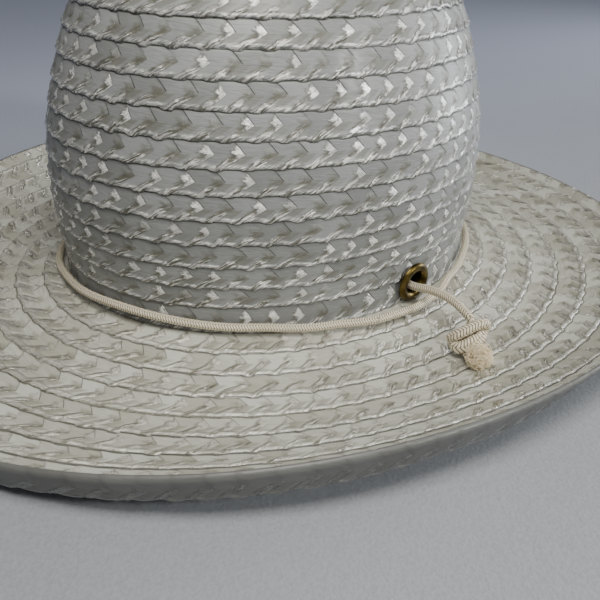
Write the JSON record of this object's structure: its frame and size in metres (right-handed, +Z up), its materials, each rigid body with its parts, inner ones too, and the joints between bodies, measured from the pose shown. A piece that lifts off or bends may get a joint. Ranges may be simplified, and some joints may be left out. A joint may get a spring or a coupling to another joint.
{
  "type": "straw cowboy hat",
  "caption": "Sewn straw western hat with a tall round crown, an upturned-side wide brim with a turned-down edge, a cord round the crown and a chin cord through brass eyelets.",
  "frame": {"origin": "on the surface the hat rests on, under the middle of the crown", "axes": "+Z up, -Y is the front of the hat, +X is the wearer's left, where the eyelet of the picture is"},
  "size_m": [0.3378, 0.3808, 0.1528],
  "materials": {
    "straw_crown": "pearly flat-plaited straw, silvery white with bright glints",
    "straw_brim": "pearly flat-plaited straw, warmer cream",
    "cord": "fine round braid, cream with a slight sheen",
    "frayed_cord": "loose soft fibres",
    "brass": "antique, satin"
  },
  "bodies": {
    "root": {"crown": "straw_crown", "brim": "straw_brim", "band_cord": "cord", "eyelet_left": "brass", "eyelet_right": "brass", "chin_cord": "cord", "knot_left": "cord", "knot_right": "cord", "tuft_left": "frayed_cord", "tuft_right": "frayed_cord"}
  },
  "joints": []
}
